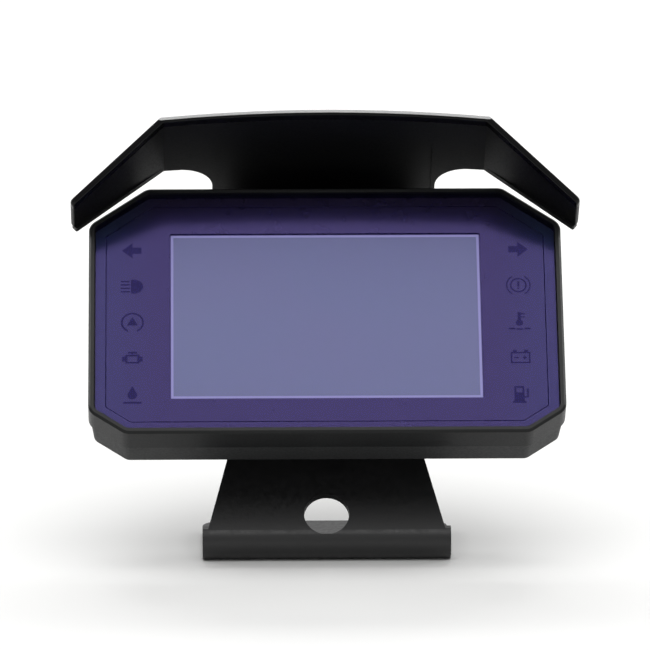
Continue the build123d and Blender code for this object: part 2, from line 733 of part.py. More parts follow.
with BuildPart() as vent_plug:
    with BuildSketch(level(pod_back + cover_wall + 0.6)):
        add(discs(vent_stem_radius, [(vent_x, vent_u)]))
    extrude(amount=-(cover_wall + 0.6))
    with BuildSketch(level(pod_back)):
        add(discs(vent_cap_radius, [(vent_x, vent_u)]))
    extrude(amount=-vent_cap_thick)
    fillet(vent_plug.edges().filter_by(GeomType.CIRCLE).group_by(out_of_glass)[0], 0.8)
    with BuildSketch(level(pod_back)):
        with Locations((vent_x, vent_u)):
            with PolarLocations(vent_cap_radius, 6):
                Rectangle(2.4, 1.2)
    extrude(amount=-1.0, mode=Mode.SUBTRACT)

# ======== Rubber mounts ==================================================================================
mount_inserts = tube(boss_end + insert_length, boss_end, insert_radius, insert_bore, mount_spots)
mount_sleeves = tube(boss_end, washer_front, sleeve_radius, sleeve_bore, mount_spots)
mount_washers = tube(washer_front, washer_front - mount_washer_thick, mount_washer_radius,
                     screw_core + 0.4, mount_spots)
mount_screws = screw(washer_front - mount_washer_thick, screw_head, screw_head_thick, screw_core,
                     boss_end + mount_screw_grip - washer_front + mount_washer_thick, mount_spots,
                     hex_key, hex_depth)
with BuildPart() as mount_grommets:
    for low, high in ((grommet_back, plate_back), (plate_front, grommet_front)):
        with BuildSketch(level(low)):
            add(discs(grommet_flange, mount_spots))
        extrude(amount=high - low)
    outer_rims = mount_grommets.edges().filter_by(GeomType.CIRCLE).group_by(out_of_glass)
    fillet(outer_rims[0] + outer_rims[-1], 0.8)
    with BuildSketch(level(plate_back)):
        add(discs(grommet_neck, mount_spots))
    extrude(amount=plate_thick)
    with BuildSketch(level(grommet_back)):
        add(discs(grommet_bore, mount_spots))
    extrude(amount=grommet_front - grommet_back, mode=Mode.SUBTRACT)

# ======== Bracket ========================================================================================
arm_half = mount_x + grommet_flange + plate_margin
arm_top_u = mount_u + grommet_flange + plate_margin
arm_low_u = mount_u - grommet_flange - plate_margin
foot_end_u = foot_line_u - 12.0
plate_right = [(leg_bottom_half, foot_end_u), (leg_bottom_half, foot_line_u + 8), (leg_half, leg_top_u),
               (leg_half + 8, arm_low_u - 14), (arm_half, arm_low_u + 2), (arm_half, arm_top_u - 4),
               (plate_top_half, arm_top_u + 8), (plate_top_half, plate_top_u)]
plate_outline = plate_right + [(-x, u) for x, u in reversed(plate_right)]
window_low = header_u - header_height / 2 - window_low_gap
window_high = header_u + header_height / 2 + window_high_gap


def beside_plate(u, height):
    """Row Y and Z of a point u up the glass and this height out of it."""
    at = glass.from_local_coords((0, u, height))
    return at.Y, at.Z


inner_u = (plate_thick - glass_height - plate_back * lean_sin) / lean_cos
inner_corner = beside_plate(inner_u, plate_back)
with BuildPart() as support_bracket:
    with BuildSketch(Plane.YZ) as section:
        with BuildLine():
            Polyline((-foot_front, 0), (foot_back, 0), (foot_back, plate_thick), inner_corner,
                     beside_plate(plate_top_u, plate_back), beside_plate(plate_top_u, plate_front),
                     close=True)
        make_face()
        fillet(section.vertices().sort_by_distance((-foot_front, 0))[0], bend_inside + plate_thick)
        fillet(section.vertices().sort_by_distance(inner_corner)[0], bend_inside)
    extrude(amount=arm_half + 1, both=True)
    with BuildPart(mode=Mode.INTERSECT):
        with BuildSketch(level(plate_back - 4 * plate_thick)) as outline:
            with BuildLine():
                Polyline(*plate_outline, close=True)
            make_face()
            fillet(outline.vertices().filter_by(lambda v: v.Y > foot_end_u + 1), plate_corner)
        extrude(amount=9 * plate_thick)
        with BuildSketch(Plane.XY) as foot_sketch:
            with Locations((0, (foot_back - foot_front) / 2)):
                Rectangle(2 * leg_bottom_half, foot_front + foot_back)
            fillet(foot_sketch.vertices().group_by(Axis.Y)[-1], foot_corner)
        extrude(amount=4 * plate_thick)
    with BuildSketch(level(plate_back)):
        add(rounded(2 * window_half, window_high - window_low, window_corner,
                    u=(window_high + window_low) / 2))
        add(discs(grommet_neck + plate_hole_play, mount_spots))
        add(discs(plate_screw_hole, visor_screw_spots))
        add(discs(light_hole_radius, [(0, foot_line_u + light_hole_above_foot)]))
    extrude(amount=plate_thick, mode=Mode.SUBTRACT)
    with BuildSketch(Plane.XY):
        with GridLocations(2 * foot_hole_x, 2 * foot_hole_y, 2, 2):
            Circle(foot_hole_radius)
    extrude(amount=plate_thick, mode=Mode.SUBTRACT)

with BuildPart() as bracket_gussets:
    for side in (-1, 1):
        with BuildSketch(Plane.YZ.offset(side * gusset_x - gusset_thick / 2)):
            with BuildLine():
                Polyline((inner_corner[0] + gusset_relief, plate_thick),
                         (inner_corner[0] + gusset_reach, plate_thick),
                         beside_plate(inner_u + gusset_reach, plate_back),
                         beside_plate(inner_u + gusset_relief, plate_back), close=True)
            make_face()
        extrude(amount=gusset_thick)

# ======== Visor ==========================================================================================
roof_u = face_top + visor_gap
roof_x = face_width / 2 - top_cut_x - visor_corner_in
tip_x, tip_u = face_width / 2 + visor_overhang, face_top - visor_tip_drop
lip_limit = visor_reach + visor_lip_slope * (visor_crown + visor_thick) + 4
lip_plane = Plane(origin=glass.origin + glass.y_dir * roof_u + glass.z_dir * visor_reach,
                  z_dir=glass.z_dir - glass.y_dir * visor_lip_slope)
wing_length = hypot(tip_x - roof_x, roof_u - tip_u)
wing_fall = ((roof_u - tip_u) / wing_length, (tip_x - roof_x) / wing_length)   # inwards from the right wing
tab_front = plate_front + tab_thick


def arch_shape(thick):
    """Section of the visor across the glass: a crowned roof between two straight wings."""
    with BuildSketch(mode=Mode.PRIVATE) as shape:
        with BuildLine():
            Line((-tip_x, tip_u), (-roof_x, roof_u))
            ThreePointArc((-roof_x, roof_u), (0, roof_u + visor_crown), (roof_x, roof_u))
            Line((roof_x, roof_u), (tip_x, tip_u))
            offset(amount=thick, side=Side.LEFT, kind=Kind.INTERSECTION)
        make_face()
    return shape.sketch


def plan_shape(back, rear_round=neck_rear_round):
    """The visor seen along the glass: wings level with the glass, and a neck that runs back from them."""
    with BuildSketch(mode=Mode.PRIVATE) as shape:
        with BuildLine():
            Polyline((-tip_x - 20, -visor_wing_back), (-visor_neck_half, -visor_wing_back),
                     (-visor_neck_half, -back), (visor_neck_half, -back),
                     (visor_neck_half, -visor_wing_back), (tip_x + 20, -visor_wing_back),
                     (tip_x + 20, -lip_limit), (-tip_x - 20, -lip_limit), close=True)
        make_face()
        at_neck = shape.vertices().filter_by(lambda v: abs(abs(v.X) - visor_neck_half) < 0.1)
        fillet(at_neck.group_by(Axis.Y)[0], visor_neck_round)
        fillet(shape.vertices().group_by(Axis.Y)[-1], rear_round)
    return shape.sketch


def over_arch(edge):
    """True if the middle of this edge lies above the visor's underside."""
    at = glass.to_local_coords(edge @ 0.5)
    across = abs(at.X)
    if across < roof_x:
        return at.Y > roof_u + visor_crown * (1 - (across / roof_x) ** 2) + 0.2
    return (across - roof_x) * wing_fall[0] + (at.Y - roof_u) * wing_fall[1] > 0.2


def lip_edges(visor, over):
    """The long edges of the lip's face, on top of the visor or under it, with the roof's own one last."""
    lip = visor.faces().filter_by(GeomType.PLANE).filter_by(
        lambda f: f.normal_at().dot(lip_plane.z_dir) > 0.999).sort_by(SortBy.AREA)[-1]
    along = lip.edges().filter_by(lambda e: e.length > visor_thick + 0.5 and over_arch(e) == over)
    return along.sort_by(SortBy.LENGTH)


with BuildPart() as sun_visor:
    with BuildSketch(level(plate_front)):
        add(arch_shape(visor_thick))
    extrude(amount=lip_limit - plate_front)
    with BuildSketch(plan_view.offset(tip_u - 10)):
        add(plan_shape(plate_front))
    extrude(amount=roof_u - tip_u + 30, mode=Mode.INTERSECT)
    split(bisect_by=lip_plane, keep=Keep.BOTTOM)
    ends = sun_visor.faces().sort_by(Axis.X)
    fillet((ends[0].edges() + ends[-1].edges()).filter_by(lambda e: e.length < visor_thick + 0.5),
           visor_tip_round)
    chamfer(lip_edges(sun_visor, over=True)[-1], visor_lip_bevel)
    fillet(lip_edges(sun_visor, over=True)[:2], visor_lip_round)
    fillet(lip_edges(sun_visor, over=False), visor_lip_under_round)
    # flange on the back edge of each wing
    with BuildSketch(level(visor_wing_back)) as flange:
        for side in (-1, 1):
            with BuildLine():
                Polyline((side * roof_x, roof_u), (side * (roof_x + wing_fall[0]), roof_u + wing_fall[1]),
                         (side * (tip_x + wing_fall[0]), tip_u + wing_fall[1]),
                         (side * (tip_x - flange_drop * wing_fall[0]), tip_u - flange_drop * wing_fall[1]),
                         close=True)
            make_face()
        fillet(flange.vertices().group_by(Axis.Y)[0], flange_drop / 2)
    extrude(amount=flange_thick)
    # hollow under the roof, between the roots of the wings
    with BuildPart(mode=Mode.SUBTRACT):
        with BuildSketch(level(recess_back)):
            add(arch_shape(recess_deep))
        extrude(amount=recess_front - recess_back)
        with BuildSketch(plan_view.offset(roof_u - 5)):
            with Locations((0, -(recess_front + recess_back) / 2)):
                RectangleRounded(2 * (visor_neck_half - recess_rim), recess_front - recess_back,
                                 recess_corner)
        extrude(amount=visor_crown + visor_thick + 8, mode=Mode.INTERSECT)
    # tab down to the bracket, its ribs and its bosses
    with BuildSketch(level(plate_front)) as tab:
        with Locations((0, (tab_bottom_u + roof_u + visor_crown + 1) / 2)):
            Rectangle(2 * tab_half, roof_u + visor_crown + 1 - tab_bottom_u)
        fillet(tab.vertices().group_by(Axis.Y)[0], tab_bend)
    extrude(amount=tab_thick)
    inside_bend = sun_visor.edges().filter_by(
        lambda e: abs(glass.to_local_coords(e.center()).Z - tab_front) < 0.2 and e.length > tab_half
        and glass.to_local_coords(e.center()).Y > roof_u)
    fillet(inside_bend, tab_bend)
    for side in (-1, 1):
        with BuildSketch(side_view.offset(side * visor_rib_x - visor_rib_thick / 2)):
            with BuildLine():
                Polyline((roof_u + visor_crown + 1, plate_front + 1), (roof_u + visor_crown + 1, tab_front),
                         (roof_u + visor_crown, tab_front + visor_rib_leg),
                         (roof_u + visor_crown - visor_rib_leg, tab_front),
                         (roof_u + visor_crown - visor_rib_leg, plate_front + 1), close=True)
            make_face()
        extrude(amount=visor_rib_thick)
    with BuildSketch(level(plate_front + tab_thick / 2)):
        add(discs(visor_boss_radius, visor_screw_spots))
    extrude(amount=tab_thick / 2 + visor_boss_rise)
    with BuildSketch(level(plate_front)):
        add(discs(visor_insert_radius, visor_screw_spots))
    extrude(amount=visor_insert_length, mode=Mode.SUBTRACT)

visor_inserts = tube(plate_front + visor_insert_length, plate_front, visor_insert_radius, visor_insert_bore,
                     visor_screw_spots)
visor_washers = tube(plate_back, plate_back - visor_washer_thick, visor_washer_radius, screw_core + 0.4,
                     visor_screw_spots)
visor_screws = screw(plate_back - visor_washer_thick, screw_head, screw_head_thick, screw_core,
                     visor_washer_thick + plate_thick + visor_screw_grip, visor_screw_spots,
                     hex_key, hex_depth)

pieces = {
    "front_bezel": front_bezel.part,
    "cover_lens": cover_lens.part,
    "lens_gasket": lens_gasket.part,
    "face_mask": face_mask.part,
    "telltale_symbols": telltale_symbols.part,
    "display_polariser": display_polariser.part,
    "display_panel": display_panel.part,
    "backlight_pan": backlight_pan.part,
    "light_guide": light_guide.part,
    "backlight_leds": backlight_leds.part,
    "display_carrier": display_carrier.part,
    "main_board": main_board.part,
    "telltale_leds": telltale_leds.part,
    "processor": processor,
    "memory_chips": memory_chips,
    "bus_drivers": bus_drivers,
    "power_coils": power_coils,
    "capacitors": capacitors.part,
    "display_socket": display_socket,
    "display_flex": display_flex.part,
    "board_screws": board_screws.part,
    "header_shroud": header_shroud.part,
    "header_pins": header_pins.part,
    "header_seal": header_seal.part,
    "housing_seal": housing_seal.part,
    "rear_cover": rear_cover.part,
    "cover_screws": cover_screws,
    "vent_plug": vent_plug.part,
    "mount_inserts": mount_inserts,
    "mount_sleeves": mount_sleeves,
    "mount_washers": mount_washers,
    "mount_screws": mount_screws,
    "mount_grommets": mount_grommets.part,
    "support_bracket": support_bracket.part,
    "bracket_gussets": bracket_gussets.part,
    "sun_visor": sun_visor.part,
    "visor_inserts": visor_inserts,
    "visor_washers": visor_washers,
    "visor_screws": visor_screws,
}

os.makedirs("parts", exist_ok=True)
for name, piece in pieces.items():
    piece.label = name
    export_step(piece, f"parts/{name}.step")
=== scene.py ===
"""A motorcycle's instrument cluster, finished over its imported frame: a colour display and two columns of
warning lights behind a coated window, an arched sun visor over it, and a steel bracket that carries both.

Row frame, metres: +Z is up, -Y is towards the rider and +X is the rider's right.
"""
import json
from math import cos, pi, radians, sin

import bmesh
import bpy
from mathutils import Matrix, Vector


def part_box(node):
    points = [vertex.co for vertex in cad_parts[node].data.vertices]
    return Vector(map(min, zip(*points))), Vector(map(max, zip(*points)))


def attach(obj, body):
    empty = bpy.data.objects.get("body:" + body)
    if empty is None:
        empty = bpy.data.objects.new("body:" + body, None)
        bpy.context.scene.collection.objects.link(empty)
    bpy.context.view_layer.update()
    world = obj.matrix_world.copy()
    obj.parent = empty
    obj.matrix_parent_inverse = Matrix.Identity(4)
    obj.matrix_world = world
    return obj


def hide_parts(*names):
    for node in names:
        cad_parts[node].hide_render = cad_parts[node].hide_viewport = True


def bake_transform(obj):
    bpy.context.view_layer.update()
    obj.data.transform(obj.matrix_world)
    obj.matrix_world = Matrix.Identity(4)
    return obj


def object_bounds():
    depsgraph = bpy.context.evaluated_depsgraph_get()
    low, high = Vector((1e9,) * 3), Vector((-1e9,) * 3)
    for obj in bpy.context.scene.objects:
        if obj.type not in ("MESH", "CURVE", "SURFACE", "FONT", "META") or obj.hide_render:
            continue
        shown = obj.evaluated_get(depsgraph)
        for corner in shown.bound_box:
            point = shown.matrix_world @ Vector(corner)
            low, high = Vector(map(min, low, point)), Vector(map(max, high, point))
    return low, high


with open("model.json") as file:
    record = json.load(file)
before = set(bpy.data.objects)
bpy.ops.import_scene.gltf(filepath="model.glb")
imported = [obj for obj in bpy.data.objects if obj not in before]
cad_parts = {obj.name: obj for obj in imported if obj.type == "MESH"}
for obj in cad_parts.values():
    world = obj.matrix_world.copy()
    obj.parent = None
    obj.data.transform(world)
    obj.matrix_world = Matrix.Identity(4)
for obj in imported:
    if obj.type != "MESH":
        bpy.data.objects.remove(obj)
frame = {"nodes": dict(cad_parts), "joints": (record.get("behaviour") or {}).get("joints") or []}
nodes = frame["nodes"]
cad_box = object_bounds()

# ======== Camera =========================================================================================
# The rider's own view: a long lens from the saddle, a little above the cluster and a hair to its left.
# The glass leans back 42 degrees, so it is seen from 30 degrees below its normal.
millimetre = 0.001
eye_elevation, eye_azimuth, eye_distance = radians(12.0), radians(-1.1), 2.4
field_of_view = 0.232                     # width of the picture at the cluster, in metres
cluster_low, cluster_high = (Vector(corner) for corner in cad_box)
aim = Vector((0.0, (cluster_low.y + cluster_high.y) / 2, (cluster_low.z + cluster_high.z) / 2))
to_eye = Vector((sin(eye_azimuth) * cos(eye_elevation), -cos(eye_azimuth) * cos(eye_elevation),
                 sin(eye_elevation)))
camera = bpy.data.objects.new("camera", bpy.data.cameras.new("camera"))
camera.location = aim + to_eye * eye_distance
camera.rotation_euler = to_eye.to_track_quat("Z", "Y").to_euler()
camera.data.lens = camera.data.sensor_width * eye_distance / field_of_view
bpy.context.scene.collection.objects.link(camera)
bpy.context.scene.camera = camera

# ======== Studio =========================================================================================
# A white tent: matte paper on the floor and soft light from all round. The leaning glass mirrors the wide
# softbox overhead, a long strip behind it lines the visor's lip, and one each side lines the bezel's rim.
bpy.context.scene.view_settings.view_transform = "Standard"


def linear(hex_colour, alpha=1.0):
    """An sRGB colour such as "1C1D1F" as the linear values that shaders take."""
    channels = [int(hex_colour[i:i + 2], 16) / 255 for i in (0, 2, 4)]
    return (*[c / 12.92 if c <= 0.04045 else ((c + 0.055) / 1.055) ** 2.4 for c in channels], alpha)


def new_material(name):
    """An empty node material."""
    material = bpy.data.materials.new(name)
    material.use_nodes = True
    material.node_tree.nodes.clear()
    return material


def add_node(material, kind, sockets=None, **settings):
    """Adds one node. Settings are its own fields. A socket, by name or by number where two share a name,
    takes a value or another node's output."""
    tree = material.node_tree
    node = tree.nodes.new(kind)
    for name, value in settings.items():
        setattr(node, name, value)
    for name, value in (sockets or {}).items():
        if isinstance(value, bpy.types.NodeSocket):
            tree.links.new(value, node.inputs[name])
        else:
            node.inputs[name].default_value = value
    return node


def new_piece(name, shape, material):
    """Puts a finished bmesh in the scene as an object of its own."""
    mesh = bpy.data.meshes.new(name)
    shape.to_mesh(mesh)
    shape.free()
    mesh.materials.append(material)
    piece = bpy.data.objects.new(name, mesh)
    bpy.context.scene.collection.objects.link(piece)
    return piece


def finish_node(name, material):
    """Gives a frame node its finish."""
    for slot in nodes[name].material_slots:
        slot.material = material


# Seamless background paper: uncoated, so it has almost no gloss and only a faint mottle from the pulp.
paper = new_material("uncoated_paper")
paper_place = add_node(paper, "ShaderNodeTexCoord")
paper_mottle = add_node(paper, "ShaderNodeTexNoise", {"Vector": paper_place.outputs["Object"], "Scale": 9.0,
                                                      "Detail": 3.0})
paper_tone = add_node(paper, "ShaderNodeMix", {"Factor": paper_mottle.outputs["Fac"],
                                               "A": linear("DFDFDE"), "B": linear("E4E4E3")},
                      data_type="RGBA")
paper_shader = add_node(paper, "ShaderNodeBsdfPrincipled", {"Base Color": paper_tone.outputs["Result"],
                                                            "Roughness": 0.95, "Specular IOR Level": 0.1})
add_node(paper, "ShaderNodeOutputMaterial", {"Surface": paper_shader.outputs["BSDF"]})
floor_shape = bmesh.new()
bmesh.ops.create_grid(floor_shape, x_segments=1, y_segments=1, size=12.0)   # metres each way
floor = new_piece("floor", floor_shape, paper)
floor.location.z = cluster_low.z

world = bpy.data.worlds.new("tent")
world.use_nodes = True
world.node_tree.nodes["Background"].inputs["Color"].default_value = (1.0, 1.0, 1.0, 1.0)
world.node_tree.nodes["Background"].inputs["Strength"].default_value = 0.52
bpy.context.scene.world = world


def softbox(name, towards, distance, width, height, brightness):
    """A softbox that faces the cluster from a direction. Sizes are in metres, brightness is that of its
    face, and 1 is the brightness of plain white."""
    light = bpy.data.lights.new(name, "AREA")
    light.shape = "RECTANGLE"
    light.size, light.size_y = width, height
    light.energy = brightness * pi * width * height
    lamp = bpy.data.objects.new(name, light)
    lamp.location = aim + Vector(towards).normalized() * distance
    lamp.rotation_euler = Vector(towards).to_track_quat("Z", "Y").to_euler()
    bpy.context.scene.collection.objects.link(lamp)


softbox("softbox_over", (0.0, -0.31, 1.0), distance=2.1, width=2.2, height=2.2, brightness=2.2)
softbox("strip_behind", (0.0, 0.643, 0.766), distance=2.2, width=1.6, height=0.35, brightness=13.0)
for side_light, side in (("softbox_left", -1), ("softbox_right", 1)):
    softbox(side_light, (side * 0.866, 0.335, 0.371), distance=2.0, width=0.6, height=0.6, brightness=6.0)

# ======== Sun visor ======================================================================================
# The visor is one injection moulding in black ABS. Its mould is spark eroded, which leaves an even, dull
# grain, a little smoother where hands wipe the lip.
out_of_glass = Vector(frame["joints"][0]["axis"]).normalized()
up_glass = out_of_glass.cross(Vector((1, 0, 0)))
lens_low, lens_high = (Vector(corner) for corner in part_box("cover_lens"))
lens_thick = 2.5 * millimetre
glass_centre = (lens_low + lens_high) / 2 + out_of_glass * lens_thick / 2
glass_turn = (up_glass.angle(Vector((0, 1, 0))), 0.0, 0.0)


def glass_axes(material):
    """Coordinates on the glass: x across it, y up it and z out of it, in metres from its centre."""
    place = add_node(material, "ShaderNodeTexCoord")
    return add_node(material, "ShaderNodeMapping", {"Vector": place.outputs["Object"],
                                                    "Location": glass_centre, "Rotation": glass_turn},
                    vector_type="TEXTURE").outputs["Vector"]


flow_cloud, dull_swing, grain_strength = 28.0 * millimetre, 0.08, 0.6
rubbed_dullness_lost, rubbed_grain_lost = 0.6, 0.5


def grained_plastic(name, dark, light, grain, depth, dull, shine, ior=1.53, rubbed=None):
    """Moulded plastic, rubber or paint. The grain's width and depth are given in millimetres, and where
    rubbed, a function of the material, is 1, the surface is smoother."""
    material = new_material(name)
    place = glass_axes(material)
    pits = add_node(material, "ShaderNodeTexNoise", {"Vector": place, "Scale": 1 / (grain * millimetre),
                                                     "Detail": 2.0, "Roughness": 0.6})
    flow = add_node(material, "ShaderNodeTexNoise", {"Vector": place, "Scale": 1 / flow_cloud,
                                                     "Detail": 4.0})
    tone = add_node(material, "ShaderNodeMix", {"Factor": flow.outputs["Fac"], "A": linear(dark),
                                                "B": linear(light)}, data_type="RGBA")
    matt = add_node(material, "ShaderNodeMapRange", {"Value": pits.outputs["Fac"], "From Min": 0.3,
                                                     "From Max": 0.7, "To Min": dull - dull_swing,
                                                     "To Max": dull + dull_swing})
    roughness, strength = matt.outputs["Result"], grain_strength
    if rubbed:
        where = rubbed(material)
        kept = add_node(material, "ShaderNodeMath", {0: where, 1: -rubbed_dullness_lost, 2: 1.0},
                        operation="MULTIPLY_ADD")
        roughness = add_node(material, "ShaderNodeMath", {0: kept.outputs["Value"], 1: roughness},
                             operation="MULTIPLY").outputs["Value"]
        strength = add_node(material, "ShaderNodeMath", {0: where, 1: -rubbed_grain_lost, 2: grain_strength},
                            operation="MULTIPLY_ADD").outputs["Value"]
    bump = add_node(material, "ShaderNodeBump", {"Height": pits.outputs["Fac"], "Strength": strength,
                                                 "Distance": depth * millimetre})
    shader = add_node(material, "ShaderNodeBsdfPrincipled", {
        "Base Color": tone.outputs["Result"], "Roughness": roughness, "IOR": ior,
        "Specular IOR Level": shine, "Normal": bump.outputs["Normal"]})
    add_node(material, "ShaderNodeOutputMaterial", {"Surface": shader.outputs["BSDF"]})
    return material


# The plane of the lip: how far out of the glass it is, how far up, and how much nearer per unit up.
lip_reach, lip_corner_up, lip_slope = 33.0 * millimetre, 57.6 * millimetre, 0.68
lip_polish, polish_fade = 2.6 * millimetre, 0.8 * millimetre


def near_lip(material):
    """1 within a few millimetres of the visor's lip, which hands and the polished parting edge smooth."""
    at = add_node(material, "ShaderNodeSeparateXYZ", {"Vector": glass_axes(material)})
    lip_here = add_node(material, "ShaderNodeMath", {0: at.outputs["Y"], 1: lip_slope,
                                                     2: lip_reach - lip_slope * lip_corner_up},
                        operation="MULTIPLY_ADD")
    behind_lip = add_node(material, "ShaderNodeMath", {0: lip_here.outputs["Value"], 1: at.outputs["Z"]},
                          operation="SUBTRACT")
    return add_node(material, "ShaderNodeMapRange", {
        "Value": behind_lip.outputs["Value"], "From Min": lip_polish + polish_fade,
        "From Max": lip_polish}).outputs["Result"]


finish_node("sun_visor", grained_plastic("spark_grained_black_abs", "050506", "080809", grain=0.75,
                                         depth=0.03, dull=0.42, shine=0.15, rubbed=near_lip))

# ======== Bezel ==========================================================================================
# The bezel is moulded in black polycarbonate blend from a finer mould than the visor, so it is satin and
# its bevelled rim catches a thin line of light.
finish_node("front_bezel", grained_plastic("satin_black_polycarbonate", "08090A", "0C0D0E", grain=0.6,
                                           depth=0.01, dull=0.38, shine=0.22))

# ======== Window =========================================================================================
# The window is 2.5 mm hard-coated polycarbonate with an antireflection coat. The coat cancels all but a
# little deep blue of the light that its face mirrors, and the etched face blurs that.
coated_pc = new_material("blue_coated_polycarbonate")
coat_cloud = add_node(coated_pc, "ShaderNodeTexNoise", {"Vector": glass_axes(coated_pc),
                                                        "Scale": 1 / (60 * millimetre)})
coat_tint = add_node(coated_pc, "ShaderNodeMix", {"Factor": coat_cloud.outputs["Fac"],
                                                  "A": linear("2A2A77"), "B": linear("2E2B80")},
                     data_type="RGBA")
pane_side = add_node(coated_pc, "ShaderNodeNewGeometry")
mirrored = add_node(coated_pc, "ShaderNodeFresnel", {"IOR": 1.58,
                                                     "Normal": pane_side.outputs["True Normal"]})
outer_face = add_node(coated_pc, "ShaderNodeMath", {0: 1.0, 1: pane_side.outputs["Backfacing"]},
                      operation="SUBTRACT")
mirrored_once = add_node(coated_pc, "ShaderNodeMath", {0: mirrored.outputs["Fac"],
                                                       1: outer_face.outputs["Value"]}, operation="MULTIPLY")
clear_body = add_node(coated_pc, "ShaderNodeBsdfTransparent", {"Color": linear("F6F5FA")})
coat_gloss = add_node(coated_pc, "ShaderNodeBsdfGlossy", {"Color": coat_tint.outputs["Result"],
                                                          "Roughness": 0.25,
                                                          "Normal": pane_side.outputs["True Normal"]})
pane = add_node(coated_pc, "ShaderNodeMixShader", {0: mirrored_once.outputs["Value"],
                                                   1: clear_body.outputs["BSDF"],
                                                   2: coat_gloss.outputs["BSDF"]})
add_node(coated_pc, "ShaderNodeOutputMaterial", {"Surface": pane.outputs["Shader"]})

# The mask lies against the window but isn't glued to it, so a film of air stays between the two.
air_film, same_point = 0.05 * millimetre, 0.001 * millimetre
back_level = -0.9 * lens_thick            # behind this, as seen from the front face, is only the back face
window_shape = bmesh.new()
window_shape.from_mesh(nodes["cover_lens"].data)
bmesh.ops.remove_doubles(window_shape, verts=window_shape.verts, dist=same_point)
back_rim = [vertex for vertex in window_shape.verts
            if (vertex.co - glass_centre).dot(out_of_glass) < back_level]
bmesh.ops.translate(window_shape, verts=back_rim, vec=out_of_glass * air_film)
window = new_piece("coated_window", window_shape, coated_pc)
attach(window, "cluster")
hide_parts("cover_lens")

# ======== Mask and warning symbols =======================================================================
# The mask is screen-printed in dense plum ink, and its gloss mirrors plum. Near the rim its colour is painted
# bluer, a painted reflection of the window's bevelled edge.
# The symbols are left out of it and filled with smoked, see-through ink that mirrors about half as much.
coat_mirror = {"IOR": 1.58, "Specular IOR Level": 1.0, "Specular Tint": linear("9082C3")}
# Between these distances from the middle the ink is painted bluer, a painted reflection of the window's edge.
painted_sheen_from, painted_sheen_to = 56.0 * millimetre, 80.0 * millimetre


def printed_ink(name, middle, rim, cloud, gloss=coat_mirror):
    """Screen-printed ink behind the window, with a faint cloud of the given size in millimetres."""
    material = new_material(name)
    place = glass_axes(material)
    at = add_node(material, "ShaderNodeSeparateXYZ", {"Vector": place})
    # Towards the sides the colour turns from middle to rim: a painted reflection of the window's bevelled
    # edge.
    across = add_node(material, "ShaderNodeMath", {0: at.outputs["X"]}, operation="ABSOLUTE")
    painted_sheen_share = add_node(material, "ShaderNodeMapRange", {"Value": across.outputs["Value"], "From Min": painted_sheen_from,
                                                      "From Max": painted_sheen_to}, interpolation_type="SMOOTHSTEP")
    run = add_node(material, "ShaderNodeMix", {"Factor": painted_sheen_share.outputs["Result"], "A": linear(middle),
                                               "B": linear(rim)}, data_type="RGBA")
    mottle = add_node(material, "ShaderNodeTexNoise", {"Vector": place, "Scale": 1 / (cloud * millimetre),
                                                       "Detail": 2.0})
    shade = add_node(material, "ShaderNodeMapRange", {"Value": mottle.outputs["Fac"], "To Min": 0.9,
                                                      "To Max": 1.1})
    tone = add_node(material, "ShaderNodeVectorMath", {0: run.outputs["Result"],
                                                       "Scale": shade.outputs["Result"]}, operation="SCALE")
    flat = add_node(material, "ShaderNodeNewGeometry").outputs["True Normal"]
    shader = add_node(material, "ShaderNodeBsdfPrincipled", {
        "Base Color": tone.outputs["Vector"], "Roughness": 0.15, "Normal": flat, **gloss})
    add_node(material, "ShaderNodeOutputMaterial", {"Surface": shader.outputs["BSDF"]})
    return material


finish_node("face_mask", printed_ink("screen_printed_plum_ink", "1E1A24", "1C2531", cloud=6.0))
symbol_gloss = {**coat_mirror, "Specular Tint": linear("61569A")}
finish_node("telltale_symbols", printed_ink("smoked_symbol_ink", "060608", "06070A", cloud=2.0,
                                            gloss=symbol_gloss))

# The gasket between the window and the bezel's ledge is die-cut foam tape. Its face is a film in the same
# ink, so that the plum runs on to the rim, and like the mask it is painted bluer there: a painted reflection
# of the window's bevelled edge.
finish_node("lens_gasket", printed_ink("film_faced_foam_tape", "1E1A24", "1F2935", cloud=4.0))

# ======== Display ========================================================================================
# The display is a colour liquid-crystal panel under an antiglare polariser, which scatters daylight as a
# flat blue-grey. Round the picture runs a narrow, brighter band where no colour filter covers the cell.
picture_half = (54.0 * millimetre, 32.4 * millimetre)
picture_centre = -0.9 * millimetre
band_width, band_edge = 0.9 * millimetre, 0.1 * millimetre
polariser = new_material("antiglare_polariser_film")
polariser_place = glass_axes(polariser)
on_picture = add_node(polariser, "ShaderNodeSeparateXYZ", {"Vector": polariser_place})
across = add_node(polariser, "ShaderNodeMath", {0: on_picture.outputs["X"]}, operation="ABSOLUTE")
past_side = add_node(polariser, "ShaderNodeMath", {0: across.outputs["Value"], 1: picture_half[0]},
                     operation="SUBTRACT")
from_centre = add_node(polariser, "ShaderNodeMath", {0: on_picture.outputs["Y"], 1: picture_centre},
                       operation="SUBTRACT")
upward = add_node(polariser, "ShaderNodeMath", {0: from_centre.outputs["Value"]}, operation="ABSOLUTE")
past_top = add_node(polariser, "ShaderNodeMath", {0: upward.outputs["Value"], 1: picture_half[1]},
                    operation="SUBTRACT")
outside = add_node(polariser, "ShaderNodeMath", {0: past_side.outputs["Value"], 1: past_top.outputs["Value"]},
                   operation="MAXIMUM")
in_band = add_node(polariser, "ShaderNodeMapRange", {"Value": outside.outputs["Value"],
                                                     "From Min": -band_edge, "From Max": band_edge})
past_band = add_node(polariser, "ShaderNodeMapRange", {"Value": outside.outputs["Value"],
                                                       "From Min": band_width - band_edge,
                                                       "From Max": band_width + band_edge})
cell_cloud = add_node(polariser, "ShaderNodeTexNoise", {"Vector": polariser_place,
                                                        "Scale": 1 / (40 * millimetre)})
cell_tone = add_node(polariser, "ShaderNodeMix", {"Factor": cell_cloud.outputs["Fac"],
                                                  "A": linear("73838C"), "B": linear("79808A")},
                     data_type="RGBA")
